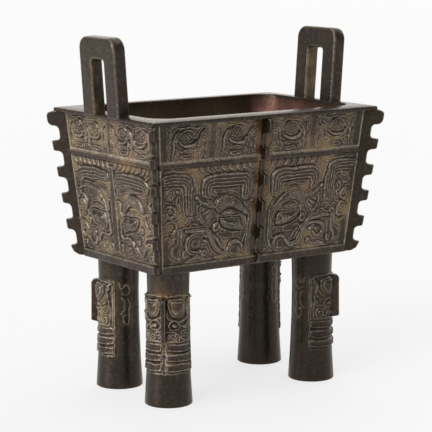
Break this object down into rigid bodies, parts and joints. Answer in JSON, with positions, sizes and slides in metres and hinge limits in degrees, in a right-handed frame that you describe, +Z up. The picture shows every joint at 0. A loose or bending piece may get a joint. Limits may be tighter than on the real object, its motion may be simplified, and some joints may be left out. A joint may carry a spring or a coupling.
{
  "type": "square bronze ding",
  "caption": "Cast bronze square cauldron: a tapering basin with toothed flanges and animal-mask relief, round legs and upright loop handles.",
  "frame": {"origin": "middle of the footprint, on the surface that the four feet stand on", "axes": "+Z up, +X along the long walls, -Y out of one long wall; the handles stand on the short walls at -X and +X"},
  "size_m": [0.2018, 0.1368, 0.2525],
  "materials": {
    "bronze": "dark brown-grey patinated cast bronze, semi-satin, with olive-tan dirt in the grooves and worn warmer edges"
  },
  "bodies": {
    "root": {"ding": "bronze"}
  },
  "joints": []
}
